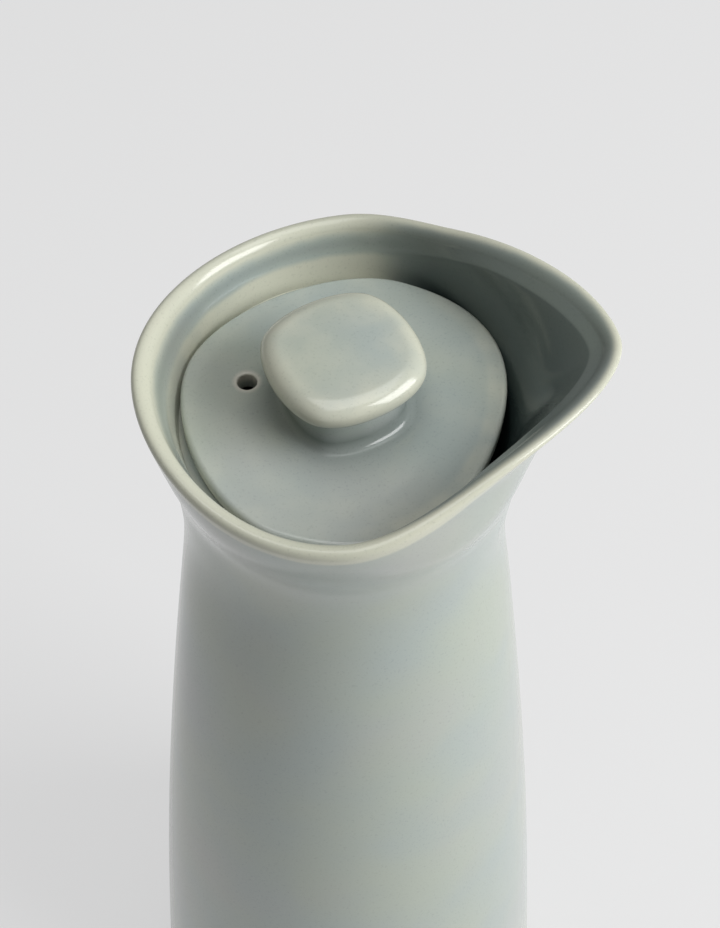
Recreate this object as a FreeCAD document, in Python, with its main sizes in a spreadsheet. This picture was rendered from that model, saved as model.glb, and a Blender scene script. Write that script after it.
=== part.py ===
import FreeCAD, Part
import math
import os
import re
import Sketcher

# Oil pourer in glazed ceramic: a cast bottle whose mouth is pinched into a pouring lip, and a loose
# lid with a knob and a vent hole, which stands on a shelf inside the mouth.
# Millimetres. The origin is the middle of the resting face, +Z is up and +X points to the lip.

SIZES = (
    # Body of the bottle, turned about Z
    ("base_radius", 42.5, "outer radius at the resting face"),
    ("foot_round", 2.5, "rounding round the foot"),
    ("shoulder_drop", 11.0, "waist down to where the long cone ends"),
    ("waist_height", 166.0, "height of the narrowest place"),
    ("waist_radius", 28.0, "outer radius at the narrowest place"),
    ("waist_round", 90.0, "radius of the waist's hollow curve, seen from the side"),
    ("wall", 3.7, "wall of the bottle, measured level"),
    ("floor_thickness", 5.0, "thickness of the bottom"),
    ("floor_round", 6.0, "rounding between the bottom and the wall inside"),
    # Mouth: outer outlines at five heights, each from the axis to the lip, a side and the back
    ("collar_rise", 9.0, "waist to the first outline above it"),
    ("collar_reach", 29.1, "collar towards the lip"),
    ("collar_side", 28.6, "collar to a side"),
    ("collar_back", 28.4, "collar to the back"),
    ("throat_rise", 8.0, "collar to the outline at the underside of the shelf"),
    ("throat_reach", 31.2, "throat towards the lip"),
    ("throat_side", 30.5, "throat to a side"),
    ("throat_back", 29.3, "throat to the back"),
    ("throat_flank", 0.55, "how square the throat is beside the lip"),
    ("throat_nose", 0.54, "how blunt the throat is at the lip"),
    ("seat_rise", 6.7, "throat to the top of the shelf that carries the lid"),
    ("seat_reach", 33.1, "outline at the shelf towards the lip"),
    ("seat_side", 33.3, "outline at the shelf to a side"),
    ("seat_back", 30.8, "outline at the shelf to the back"),
    ("seat_flank", 0.55, "how square the shelf's outline is beside the lip"),
    ("seat_nose", 0.53, "how blunt the shelf's outline is at the lip"),
    ("brim_room", 2.0, "side of the rim to the outline just over it"),
    ("brim_reach", 40.8, "brim towards the lip"),
    ("brim_side", 36.5, "brim to a side"),
    ("brim_back", 34.4, "brim to the back"),
    ("brim_flank", 0.39, "how square the brim is beside the lip"),
    ("brim_nose", 0.28, "how blunt the brim is at the lip"),
    ("brim_tail", 0.50, "how square the brim is at the back"),
    ("crest_room", 2.5, "tip of the rim to the last outline, which the rim's cut takes off"),
    ("crest_reach", 46.8, "crest towards the lip"),
    ("crest_side", 42.4, "crest to a side"),
    ("crest_back", 38.0, "crest to the back"),
    ("crest_flank", 0.40, "how square the crest is beside the lip"),
    ("crest_nose", 0.26, "how blunt the crest is at the lip"),
    ("crest_tail", 0.50, "how square the crest is at the back"),
    ("quarter", 0.5523, "share of a radius that makes a curve a quarter of an ellipse"),
    # Rim: the curve that cuts the mouth, seen from the side
    ("tip_rise", 18.3, "shelf to the tip of the lip"),
    ("side_rise", 10.2, "shelf to the rim above the axis"),
    ("back_rise", 13.0, "shelf to the rim's curve over the crest's back"),
    ("rim_dip", 103.0, "radius of the rim's dip"),
    ("rise_reach", 19.4, "axis to where the dip turns over into the rise to the tip"),
    ("rim_outer_round", 1.2, "rounding of the rim's outer edge"),
    ("rim_inner_round", 1.2, "rounding of the rim's inner edge"),
    # Shelf for the lid, a thick place of the wall that stays open under the lip
    ("shelf_front", 12.0, "axis to where the shelf ends and the pouring channel begins"),
    # Lid, in its own frame with the shelf at zero
    ("lid_turn", -19.5, "how far the lid stands turned in the mouth, in degrees"),
    ("lid_thickness", 3.5, "thickness of the lid's plate"),
    ("lid_front", 25.8, "lid's axis to its flat front edge"),
    ("lid_side", 28.8, "lid's axis to a side"),
    ("lid_back", 27.3, "lid's axis to its back edge"),
    ("lid_flank", 0.70, "how square the lid is beside its front"),
    ("lid_nose", 0.53, "how straight the lid's front is"),
    ("lid_tail", 0.44, "how square the lid's back is"),
    ("lid_top_round", 1.6, "rounding of the plate's upper edge"),
    ("lid_under_round", 1.2, "rounding of the plate's lower edge"),
    ("skirt_gap", 0.5, "clearance between the lid's skirt and the bottle's neck"),
    ("skirt_wall", 2.6, "wall of the skirt"),
    ("skirt_depth", 9.0, "how far the skirt reaches down into the neck"),
    ("vent_diameter", 3.5, "air hole through the plate"),
    ("vent_offset", 16.4, "lid's axis to the air hole, towards the back"),
    ("vent_side", 1.3, "lid's axis to the air hole, towards the right side"),
    ("knob_half_length", 13.6, "knob's middle to its front and back corners"),
    ("knob_half_width", 13.9, "knob's middle to its side corners"),
    ("knob_corner", 0.37, "how soft the four corners of the knob are"),
    ("knob_undercut", 4.6, "how far the neck stands in under the head"),
    ("knob_neck_height", 7.2, "top of the plate to the underside of the head"),
    ("knob_head_height", 6.2, "thickness of the head"),
    ("knob_top_round", 3.0, "rounding of the head's upper edge"),
    ("knob_under_round", 2.6, "rounding of the head's lower edge"),
    ("knob_foot_round", 2.4, "hollow between the neck and the plate"),
)
NAMES = {name for name, _, _ in SIZES}

# Heights above the resting face, each worked out from the one below it
SHOULDER = "waist_height - shoulder_drop"
COLLAR = "waist_height + collar_rise"
THROAT = COLLAR + " + throat_rise"
SEAT = THROAT + " + seat_rise"
SIDE = SEAT + " + side_rise"
BACK = SEAT + " + back_rise"
TIP = SEAT + " + tip_rise"
BRIM = SIDE + " + brim_room"
CREST = TIP + " + crest_room"

# Levels of the mouth from the waist up: name, height, and which corner shares each states
MOUTH_LEVELS = (
    ("collar", COLLAR, ()),
    ("throat", THROAT, ("flank", "nose")),
    ("seat", SEAT, ("flank", "nose")),
    ("brim", BRIM, ("flank", "nose", "tail")),
    ("crest", CREST, ("flank", "nose", "tail")),
)

X_AXIS_ID, Y_AXIS_ID = -1, -2
ORIGIN = (X_AXIS_ID, 1)
Z_DIRECTION = FreeCAD.Vector(0, 0, 1)
# Room that the rim's cut is given past the mouth on every side
CUT_ROOM = "12"
# How near an edge must lie to the height that picks it
NEAR = 0.01

doc = FreeCAD.newDocument("oil_pourer")
sheet = doc.addObject("Spreadsheet::Sheet", "Sizes")
for row, (name, value, meaning) in enumerate(SIZES, start=1):
    sheet.set("A%d" % row, meaning)
    sheet.set("B%d" % row, str(value))
    sheet.setAlias("B%d" % row, name)
doc.recompute()


def sized(text):
    """Put the sheet's name before every size that an expression names."""
    return re.sub(r"[a-z_]+", lambda word: "Sizes." + word[0] if word[0] in NAMES else word[0], text)


def value_of(text):
    """Work an expression out, for a first placing that the sketch then solves from."""
    return float(sheet.evalExpression(sized(text)))


def new_sketch(body, name, role="XY_Plane", height="0"):
    """Sketch on one of the body's own planes, raised by an expression."""
    sketch = body.newObject("Sketcher::SketchObject", name)
    plane = next(item for item in body.Origin.OriginFeatures if item.Role == role)
    sketch.AttachmentSupport = [(plane, "")]
    sketch.MapMode = "FlatFace"
    sketch.setExpression("AttachmentOffset.Base.z", sized(height))
    return sketch


def relate(sketch, kind, *places):
    sketch.addConstraint(Sketcher.Constraint(kind, *places))


def measure(sketch, kind, places, text):
    """Add a measured constraint and bind it to an expression of the sheet."""
    index = sketch.addConstraint(Sketcher.Constraint(kind, *places, value_of(text)))
    sketch.setExpression("Constraints[%d]" % index, sized(text))


def add_line(sketch, start, stop):
    return sketch.addGeometry(Part.LineSegment(start, stop), False)


def add_arc(sketch, centre, radius, start, stop, construction=False):
    """Arc counter-clockwise from one point to another round a centre."""
    angles = [math.atan2(point.y - centre.y, point.x - centre.x) for point in (start, stop)]
    circle = Part.Circle(centre, Z_DIRECTION, radius)
    return sketch.addGeometry(Part.ArcOfCircle(circle, *angles), construction)


def add_tangent_arc(sketch, start, towards, stop):
    """Arc from a start, whose centre lies along a direction or against it, to a stop.

    Gives the arc and the numbers of its ends at the start and at the stop, which change places
    when the arc bends the other way.
    """
    chord = stop - start
    reach = chord.dot(chord) / (2 * chord.dot(towards))
    centre = start + towards * reach
    turn = (start - centre).cross(stop - centre)
    if turn.z > 0:
        return add_arc(sketch, centre, abs(reach), start, stop), 1, 2
    return add_arc(sketch, centre, abs(reach), stop, start), 2, 1


def add_curve(sketch, points):
    """Curve of four poles, with its poles shown as points that constraints can hold."""
    curve = Part.BSplineCurve()
    poles = [FreeCAD.Vector(x, y, 0) for x, y in points]
    curve.buildFromPolesMultsKnots(poles, [4, 4], [0.0, 1.0], False, 3)
    index = sketch.addGeometry(curve, False)
    sketch.exposeInternalGeometry(index)
    return index


def pole_indices(curve):
    return [curve + 1 + place for place in range(4)]


def draw_outline(sketch, reach, side, back, flank="quarter", nose="quarter", tail="quarter"):
    """Closed outline of four curves, blunt or pointed at its reach and the same on both sides.

    The poles of each curve stand on the outline's own box, so reach, side and back are its true
    sizes, and flank, nose and tail say how far along the box the poles stand.
    """
    far, wide, rear = value_of(reach), value_of(side), value_of(back)
    at_flank, at_nose, at_tail = value_of(flank), value_of(nose), value_of(tail)
    front = ((far, 0), (far, at_nose * wide), (at_flank * wide, wide), (0, wide))
    rearward = ((0, wide), (-at_tail * rear, wide), (-rear, at_tail * wide), (-rear, 0))
    returning = [(x, -y) for x, y in reversed(rearward)]
    closing = [(x, -y) for x, y in reversed(front)]
    curves = [add_curve(sketch, points) for points in (front, rearward, returning, closing)]
    poles = [pole_indices(curve) for curve in curves]
    for here, there in zip(curves, curves[1:] + curves[:1]):
        relate(sketch, "Coincident", here, 2, there, 1)
    tip, nose_pole, flank_pole, side_pole = poles[0]
    rear_side_pole, tail_pole, back_pole = poles[1][1:]
    relate(sketch, "PointOnObject", tip, 3, X_AXIS_ID)
    relate(sketch, "PointOnObject", side_pole, 3, Y_AXIS_ID)
    relate(sketch, "PointOnObject", back_pole, 3, X_AXIS_ID)
    relate(sketch, "Vertical", tip, 3, nose_pole, 3)
    relate(sketch, "Horizontal", flank_pole, 3, side_pole, 3)
    relate(sketch, "Horizontal", side_pole, 3, rear_side_pole, 3)
    relate(sketch, "Vertical", tail_pole, 3, back_pole, 3)
    measure(sketch, "DistanceX", (*ORIGIN, tip, 3), reach)
    measure(sketch, "DistanceY", (*ORIGIN, side_pole, 3), side)
    measure(sketch, "DistanceX", (back_pole, 3, *ORIGIN), back)
    measure(sketch, "DistanceY", (*ORIGIN, nose_pole, 3), "%s * (%s)" % (nose, side))
    measure(sketch, "DistanceX", (*ORIGIN, flank_pole, 3), "%s * (%s)" % (flank, side))
    measure(sketch, "DistanceX", (rear_side_pole, 3, *ORIGIN), "%s * (%s)" % (tail, back))
    measure(sketch, "DistanceY", (*ORIGIN, tail_pole, 3), "%s * (%s)" % (tail, side))
    pairs = zip(poles[0][1:] + poles[1][1:3], poles[3][2::-1] + poles[2][2:0:-1])
    for above, below in pairs:
        relate(sketch, "Symmetric", above, 3, below, 3, X_AXIS_ID)


def draw_shelf(sketch, side, back, corner):
    """Rounded back and two slanted sides that stay in the wall and end at the pouring channel."""
    wide, rear, front = value_of(side), value_of(back), value_of("shelf_front")
    share, narrow = value_of("quarter"), value_of(corner)
    left = ((0, wide), (-share * rear, wide), (-rear, share * wide), (-rear, 0))
    right = [(x, -y) for x, y in reversed(left)]
    curves = [add_curve(sketch, points) for points in (left, right)]
    left_poles, right_poles = [pole_indices(curve) for curve in curves]
    corners = [FreeCAD.Vector(*point, 0)
               for point in ((0, -wide), (front, -narrow), (front, narrow), (0, wide))]
    lines = [add_line(sketch, start, stop) for start, stop in zip(corners, corners[1:])]
    chain = curves + lines
    for here, there in zip(chain, chain[1:] + chain[:1]):
        relate(sketch, "Coincident", here, 2, there, 1)
    relate(sketch, "PointOnObject", left_poles[0], 3, Y_AXIS_ID)
    relate(sketch, "PointOnObject", left_poles[3], 3, X_AXIS_ID)
    relate(sketch, "Horizontal", left_poles[0], 3, left_poles[1], 3)
    relate(sketch, "Vertical", left_poles[2], 3, left_poles[3], 3)
    for above, below in zip(left_poles[:3], right_poles[::-1]):
        relate(sketch, "Symmetric", above, 3, below, 3, X_AXIS_ID)
    relate(sketch, "Symmetric", lines[1], 1, lines[1], 2, X_AXIS_ID)
    measure(sketch, "DistanceY", (*ORIGIN, lines[1], 2), corner)
    measure(sketch, "DistanceY", (*ORIGIN, left_poles[0], 3), side)
    measure(sketch, "DistanceX", (left_poles[3], 3, *ORIGIN), back)
    measure(sketch, "DistanceX", (left_poles[1], 3, *ORIGIN), "quarter * (%s)" % back)
    measure(sketch, "DistanceY", (*ORIGIN, left_poles[2], 3), "quarter * (%s)" % side)
    measure(sketch, "DistanceX", (*ORIGIN, lines[1], 1), "shelf_front")


def draw_circle(sketch, radius):
    """Circle of four arcs, so that it matches the four curves of an outline."""
    size = value_of(radius)
    corners = [FreeCAD.Vector(size, 0, 0), FreeCAD.Vector(0, size, 0),
               FreeCAD.Vector(-size, 0, 0), FreeCAD.Vector(0, -size, 0)]
    arcs = [add_arc(sketch, FreeCAD.Vector(), size, start, stop)
            for start, stop in zip(corners, corners[1:] + corners[:1])]
    for here, there in zip(arcs, arcs[1:] + arcs[:1]):
        relate(sketch, "Coincident", here, 2, there, 1)
    for arc in arcs[:3]:
        relate(sketch, "Coincident", arc, 3, *ORIGIN)
    relate(sketch, "PointOnObject", arcs[3], 3, X_AXIS_ID)
    for arc, axis in zip(arcs, (X_AXIS_ID, Y_AXIS_ID, X_AXIS_ID, Y_AXIS_ID)):
        relate(sketch, "PointOnObject", arc, 1, axis)
    measure(sketch, "Radius", (arcs[0],), radius)


def draw_side(sketch, waist, hollow, foot, bottom=None):
    """Half section of the body: the bottom, the long cone and, inside, the waist.

    waist is the radius at the waist, hollow that of the waist's curve and foot that at the bottom.
    The inside has a bottom of its own and goes up to the waist. The outside stops at the shoulder,
    and the waist's curve only guides its cone.
    """
    knee_height = "waist_height - (%s) * shoulder_drop / waist_round" % hollow
    base = value_of(bottom) if bottom else 0.0
    centre = FreeCAD.Vector(value_of(waist) + value_of(hollow), value_of("waist_height"), 0)
    angle = math.asin((centre.y - value_of(knee_height)) / value_of(hollow))
    outward = FreeCAD.Vector(math.cos(angle), math.sin(angle), 0)
    narrow = FreeCAD.Vector(value_of(waist), centre.y, 0)
    knee = centre - outward * value_of(hollow)
    corner = FreeCAD.Vector(value_of(foot), base, 0)

    bottom_line = add_line(sketch, FreeCAD.Vector(0, base, 0), corner)
    cone, knee_end, foot_end = add_tangent_arc(sketch, knee, outward * -1, corner)
    curve = add_arc(sketch, centre, value_of(hollow), narrow, knee, bottom is None)
    crown, last, last_end = (narrow, curve, 1) if bottom else (knee, cone, knee_end)
    top_line = add_line(sketch, crown, FreeCAD.Vector(0, crown.y, 0))
    axis_line = add_line(sketch, FreeCAD.Vector(0, crown.y, 0), FreeCAD.Vector(0, base, 0))

    relate(sketch, "Horizontal", bottom_line)
    relate(sketch, "PointOnObject", bottom_line, 1, Y_AXIS_ID)
    if bottom:
        measure(sketch, "DistanceY", (*ORIGIN, bottom_line, 2), bottom)
    else:
        relate(sketch, "PointOnObject", bottom_line, 2, X_AXIS_ID)
    measure(sketch, "DistanceX", (*ORIGIN, bottom_line, 2), foot)
    relate(sketch, "Coincident", bottom_line, 2, cone, foot_end)
    relate(sketch, "Tangent", cone, knee_end, curve, 2)
    measure(sketch, "DistanceY", (*ORIGIN, cone, knee_end), knee_height)
    measure(sketch, "Radius", (curve,), hollow)
    measure(sketch, "DistanceX", (*ORIGIN, curve, 3), "%s + %s" % (waist, hollow))
    measure(sketch, "DistanceY", (*ORIGIN, curve, 3), "waist_height")
    relate(sketch, "Horizontal", curve, 1, curve, 3)
    relate(sketch, "Coincident", last, last_end, top_line, 1)
    relate(sketch, "Horizontal", top_line)
    relate(sketch, "PointOnObject", top_line, 2, Y_AXIS_ID)
    relate(sketch, "Coincident", top_line, 2, axis_line, 1)
    relate(sketch, "Coincident", axis_line, 2, bottom_line, 1)


def draw_rim_cut(sketch):
    """Everything above the rim, seen from the side: the rim dips at the sides and rises to the tip."""
    back = FreeCAD.Vector(-value_of("crest_back"), value_of(BACK), 0)
    side = FreeCAD.Vector(0, value_of(SIDE), 0)
    tip = FreeCAD.Vector(value_of("crest_reach"), value_of(TIP), 0)
    radius = value_of("rim_dip")
    half_chord = (side - back) * 0.5
    normal = FreeCAD.Vector(-half_chord.y, half_chord.x, 0).normalize()
    centre = back + half_chord + normal * math.sqrt(radius ** 2 - half_chord.dot(half_chord))
    turn_x = value_of("rise_reach")
    turn = FreeCAD.Vector(turn_x, centre.y - math.sqrt(radius ** 2 - (turn_x - centre.x) ** 2), 0)
    left, right = -value_of("crest_back + " + CUT_ROOM), value_of("crest_reach + " + CUT_ROOM)
    top = value_of(CREST + " + " + CUT_ROOM)

    dip = add_arc(sketch, centre, radius, back, turn)
    rise, turn_end, tip_end = add_tangent_arc(sketch, turn, (turn - centre).normalize(), tip)
    corners = [tip, FreeCAD.Vector(right, tip.y, 0), FreeCAD.Vector(right, top, 0),
               FreeCAD.Vector(left, top, 0), FreeCAD.Vector(left, back.y, 0), back]
    lines = [add_line(sketch, start, stop) for start, stop in zip(corners, corners[1:])]
    mark = sketch.addGeometry(Part.Point(side), True)

    measure(sketch, "DistanceX", (dip, 1, *ORIGIN), "crest_back")
    measure(sketch, "DistanceY", (*ORIGIN, dip, 1), BACK)
    relate(sketch, "PointOnObject", mark, 1, Y_AXIS_ID)
    measure(sketch, "DistanceY", (*ORIGIN, mark, 1), SIDE)
    relate(sketch, "PointOnObject", mark, 1, dip)
    measure(sketch, "Radius", (dip,), "rim_dip")
    relate(sketch, "Tangent", dip, 2, rise, turn_end)
    measure(sketch, "DistanceX", (*ORIGIN, dip, 2), "rise_reach")
    measure(sketch, "DistanceX", (*ORIGIN, rise, tip_end), "crest_reach")
    measure(sketch, "DistanceY", (*ORIGIN, rise, tip_end), TIP)
    relate(sketch, "Coincident", rise, tip_end, lines[0], 1)
    for here, there in zip(lines, lines[1:]):
        relate(sketch, "Coincident", here, 2, there, 1)
    relate(sketch, "Coincident", lines[-1], 2, dip, 1)
    for level_line in lines[::2]:
        relate(sketch, "Horizontal", level_line)
    for upright_line in lines[1::2]:
        relate(sketch, "Vertical", upright_line)
    measure(sketch, "DistanceX", (*ORIGIN, lines[0], 2), "crest_reach + " + CUT_ROOM)
    measure(sketch, "DistanceX", (lines[3], 2, *ORIGIN), "crest_back + " + CUT_ROOM)
    measure(sketch, "DistanceY", (*ORIGIN, lines[2], 1), CREST + " + " + CUT_ROOM)


def turn_profile(body, kind, name, sketch):
    """Turn a half section about Z, to add it or to cut it away."""
    feature = body.newObject("PartDesign::" + kind, name)
    feature.Profile = sketch
    feature.ReferenceAxis = (sketch, ["V_Axis"])
    feature.Angle = 360.0
    doc.recompute()
    return feature


def loft_through(body, kind, name, sketches):
    feature = body.newObject("PartDesign::" + kind, name)
    feature.Profile = sketches[0]
    feature.Sections = sketches[1:]
    feature.Ruled = False
    doc.recompute()
    return feature


def pad(body, name, sketch, length, downwards=False):
    feature = body.newObject("PartDesign::Pad", name)
    feature.Profile = sketch
    feature.Reversed = downwards
    feature.setExpression("Length", sized(length))
    doc.recompute()
    return feature


def cut_through(body, name, sketch, both_ways=False):
    feature = body.newObject("PartDesign::Pocket", name)
    feature.Profile = sketch
    feature.Type = "ThroughAll"
    if both_ways:
        feature.SideType = "Symmetric"
    doc.recompute()
    return feature


def cut_down(body, name, sketch, length):
    feature = body.newObject("PartDesign::Pocket", name)
    feature.Profile = sketch
    feature.setExpression("Length", sized(length))
    doc.recompute()
    return feature


def round_edges(body, name, radius, wanted):
    """Round every edge of the body's last shape that the test picks."""
    tip = body.Tip
    picked = ["Edge%d" % number for number, edge in enumerate(tip.Shape.Edges, start=1)
              if wanted(edge)]
    if not picked:
        raise RuntimeError("no edge found for " + name)
    feature = body.newObject("PartDesign::Fillet", name)
    feature.Base = (tip, picked)
    feature.setExpression("Radius", sized(radius))
    doc.recompute()
    return feature


def middle_of(edge):
    return edge.valueAt((edge.FirstParameter + edge.LastParameter) / 2)


def new_edge(before, lowest):
    """Test for an edge above a height that the shape did not have before a cut."""
    known = [middle_of(edge) for edge in before.Edges]

    def wanted(edge):
        middle = middle_of(edge)
        fresh = all(middle.distanceToPoint(point) > NEAR for point in known)
        return fresh and edge.BoundBox.ZMin > lowest
    return wanted


def level_edge(height, nearer=None, farther=None):
    """Test for a level edge at a height, whose middle is nearer or farther out than a radius."""
    level = value_of(height)
    low = value_of(farther) if farther else 0.0
    high = value_of(nearer) if nearer else math.inf

    def wanted(edge):
        box = edge.BoundBox
        middle = middle_of(edge)
        distance = math.hypot(middle.x, middle.y)
        flat = abs(box.ZMin - level) < NEAR and abs(box.ZMax - level) < NEAR
        return flat and low < distance < high
    return wanted


def new_body(name):
    body = doc.addObject("PartDesign::Body", name)
    body.Label = name
    return body


def draw_level(body, level, height, shares, inset=""):
    """Outline of the mouth at one level, outside or set in by the wall."""
    sketch = new_sketch(body, level + ("_inside" if inset else "_outline"), height=height)
    draw_outline(sketch, level + "_reach" + inset, level + "_side" + inset, level + "_back" + inset,
                 *(level + "_" + share for share in shares))
    return sketch


def make_bottle():
    """Cone and waist turned about Z, mouth lofted to the lip, rim cut to its curve, then hollowed."""
    body = new_body("bottle")
    outside = new_sketch(body, "BodySection", "XZ_Plane")
    draw_side(outside, "waist_radius", "waist_round", "base_radius")
    turn_profile(body, "Revolution", "Cone", outside)

    shoulder = new_sketch(body, "ShoulderOutline", height=SHOULDER)
    draw_circle(shoulder, "waist_radius + waist_round - sqrt(waist_round ^ 2 - shoulder_drop ^ 2)")
    waist = new_sketch(body, "WaistOutline", height="waist_height")
    draw_circle(waist, "waist_radius")
    outer = [draw_level(body, level, height, shares) for level, height, shares in MOUTH_LEVELS]
    loft_through(body, "AdditiveLoft", "Mouth", [shoulder, waist] + outer)

    rim = new_sketch(body, "RimCurve", "XZ_Plane")
    draw_rim_cut(rim)
    cut_through(body, "RimCut", rim, both_ways=True)
    rim_foot = value_of(SEAT + " + side_rise / 2")
    round_edges(body, "RimOuterRounding", "rim_outer_round",
                lambda edge: edge.BoundBox.ZMin > rim_foot)

    neck = new_sketch(body, "WaistInside", height="waist_height")
    draw_circle(neck, "waist_radius - wall")
    inner = [draw_level(body, level, height, shares, " - wall") for level, height, shares in MOUTH_LEVELS]
    uncut = body.Shape
    loft_through(body, "SubtractiveLoft", "MouthInside", [neck] + inner)
    round_edges(body, "RimInnerRounding", "rim_inner_round", new_edge(uncut, rim_foot))

    shelf = []
    for level, height in (("throat", THROAT), ("seat", SEAT)):
        sketch = new_sketch(body, level.capitalize() + "Shelf", height=height)
        draw_shelf(sketch, level + "_side - wall / 2", level + "_back - wall / 2",
                   level + "_side - wall")
        shelf.append(sketch)
    loft_through(body, "AdditiveLoft", "Shelf", shelf)
    bore = new_sketch(body, "ShelfBoreOutline", height=SEAT)
    draw_circle(bore, "waist_radius - wall")
    cut_down(body, "ShelfBore", bore, "seat_rise + wall")

    inside = new_sketch(body, "CavitySection", "XZ_Plane")
    draw_side(inside, "waist_radius - wall", "waist_round + wall", "base_radius - wall",
              "floor_thickness")
    turn_profile(body, "Groove", "Cavity", inside)
    round_edges(body, "FootRounding", "foot_round", level_edge("0"))
    round_edges(body, "FloorRounding", "floor_round", level_edge("floor_thickness"))
    return body


def make_lid():
    """Plate with a flat front, a skirt below it, a knob with an undercut neck, and an air hole."""
    body = new_body("lid")
    plate = new_sketch(body, "PlateOutline")
    draw_outline(plate, "lid_front", "lid_side", "lid_back", "lid_flank", "lid_nose", "lid_tail")
    pad(body, "Plate", plate, "lid_thickness")
    round_edges(body, "PlateTopRounding", "lid_top_round", level_edge("lid_thickness"))
    round_edges(body, "PlateUnderRounding", "lid_under_round", level_edge("0"))

    skirt = new_sketch(body, "SkirtOutline")
    draw_circle(skirt, "waist_radius - wall - skirt_gap")
    draw_circle(skirt, "waist_radius - wall - skirt_gap - skirt_wall")
    pad(body, "Skirt", skirt, "skirt_depth", downwards=True)

    neck = new_sketch(body, "NeckOutline", height="lid_thickness")
    draw_outline(neck, "knob_half_length - knob_undercut", "knob_half_width - knob_undercut",
                 "knob_half_length - knob_undercut", "knob_corner", "knob_corner", "knob_corner")
    pad(body, "KnobNeck", neck, "knob_neck_height")
    round_edges(body, "NeckHollow", "knob_foot_round",
                level_edge("lid_thickness", nearer="vent_offset - vent_diameter / 2"))
    head = new_sketch(body, "HeadOutline", height="lid_thickness + knob_neck_height")
    draw_outline(head, "knob_half_length", "knob_half_width", "knob_half_length",
                 "knob_corner", "knob_corner", "knob_corner")
    pad(body, "KnobHead", head, "knob_head_height")
    round_edges(body, "HeadTopRounding", "knob_top_round",
                level_edge("lid_thickness + knob_neck_height + knob_head_height"))
    round_edges(body, "HeadUnderRounding", "knob_under_round",
                level_edge("lid_thickness + knob_neck_height",
                           farther="knob_half_length - knob_undercut"))

    vent = new_sketch(body, "VentOutline", height="lid_thickness")
    middle = FreeCAD.Vector(-value_of("vent_offset"), -value_of("vent_side"), 0)
    circle = Part.Circle(middle, Z_DIRECTION, value_of("vent_diameter / 2"))
    hole = vent.addGeometry(circle, False)
    measure(vent, "DistanceX", (hole, 3, *ORIGIN), "vent_offset")
    measure(vent, "DistanceY", (hole, 3, *ORIGIN), "vent_side")
    measure(vent, "Diameter", (hole,), "vent_diameter")
    cut_through(body, "Vent", vent)

    body.Placement = FreeCAD.Placement(FreeCAD.Vector(0, 0, value_of(SEAT)),
                                       FreeCAD.Rotation(Z_DIRECTION, value_of("lid_turn")))
    body.setExpression("Placement.Base.z", sized(SEAT))
    body.setExpression("Placement.Rotation.Angle", sized("lid_turn"))
    return body


bodies = [make_bottle(), make_lid()]
doc.recompute()

for item in doc.Objects:
    if {"Invalid", "Error"} & set(item.State):
        raise RuntimeError("%s did not build: %s" % (item.Label, item.State))
for body in bodies:
    if body.Shape.isNull() or not body.Shape.isValid() or len(body.Shape.Solids) != 1:
        raise RuntimeError(body.Label + " is not one valid solid")

os.makedirs("parts", exist_ok=True)
for body in bodies:
    body.Shape.exportStep("parts/%s.step" % body.Label)
    size = body.Shape.optimalBoundingBox(True, False)
    print("%s: %.1f x %.1f x %.1f mm, %.1f cm3" % (body.Label, size.XLength, size.YLength,
                                                   size.ZLength, body.Shape.Volume / 1000))
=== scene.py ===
"""Oil pourer in a pale green-grey glaze: a bottle pinched into a lip, its loose lid, and a plain stage."""
import math
from collections import namedtuple

import bmesh
import bpy
import numpy as np
from bpy.props import FloatProperty, FloatVectorProperty, IntProperty, PointerProperty
from mathutils import Matrix, Vector


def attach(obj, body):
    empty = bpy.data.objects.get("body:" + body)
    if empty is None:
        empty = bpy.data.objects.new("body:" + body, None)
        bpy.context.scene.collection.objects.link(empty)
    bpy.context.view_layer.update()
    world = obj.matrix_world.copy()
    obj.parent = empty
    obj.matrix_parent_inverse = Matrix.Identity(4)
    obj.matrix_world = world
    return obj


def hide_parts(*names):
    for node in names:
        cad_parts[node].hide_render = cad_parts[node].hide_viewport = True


bl_info = {
    "name": "Oil Pourer",
    "version": (1, 0, 0),
    "blender": (4, 5, 0),
    "location": "View3D > Sidebar > Oil Pourer",
    "description": "Models a glazed oil pourer with a pinched lip and a loose lid, and sets a stage for it",
    "category": "Add Mesh",
}

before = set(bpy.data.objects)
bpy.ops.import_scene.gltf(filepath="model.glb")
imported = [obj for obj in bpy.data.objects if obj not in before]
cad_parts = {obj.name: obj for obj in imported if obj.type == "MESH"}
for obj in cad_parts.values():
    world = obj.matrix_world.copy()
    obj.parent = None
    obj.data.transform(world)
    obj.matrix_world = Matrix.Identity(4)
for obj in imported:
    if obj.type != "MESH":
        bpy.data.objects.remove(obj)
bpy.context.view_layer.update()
BODY = "root"

# Share of a radius that makes a curve a quarter of an ellipse
QUARTER = 0.5523
# Points nearer each other than this are one point
SAME_PLACE = 0.000002

# An outline, seen from above: from the axis to the lip, to a side and to the back in metres, then how
# square it is beside the lip, how blunt at the lip and how square at the back, as shares.
Outline = namedtuple("Outline", "reach side back flank nose tail")


def circle(radius):
    return Outline(radius, radius, radius, QUARTER, QUARTER, QUARTER)


# Outside of the mouth at its heights above the resting face
MOUTH = {
    0.1660: circle(0.0280),
    0.1750: Outline(0.0288, 0.0286, 0.0284, QUARTER, QUARTER, QUARTER),
    0.1830: Outline(0.0298, 0.0305, 0.0293, 0.55, 0.54, QUARTER),
    0.1897: Outline(0.0312, 0.0333, 0.0308, 0.55, 0.53, QUARTER),
    0.2019: Outline(0.0389, 0.0367, 0.0343, 0.42, 0.28, 0.51),
    0.2105: Outline(0.0492, 0.0376, 0.0366, 0.48, 0.27, 0.505),
}
# Heights at which the long cone below the waist is followed
CONE_HEIGHTS = (0.0, 0.05, 0.1, 0.13, 0.15)

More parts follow.
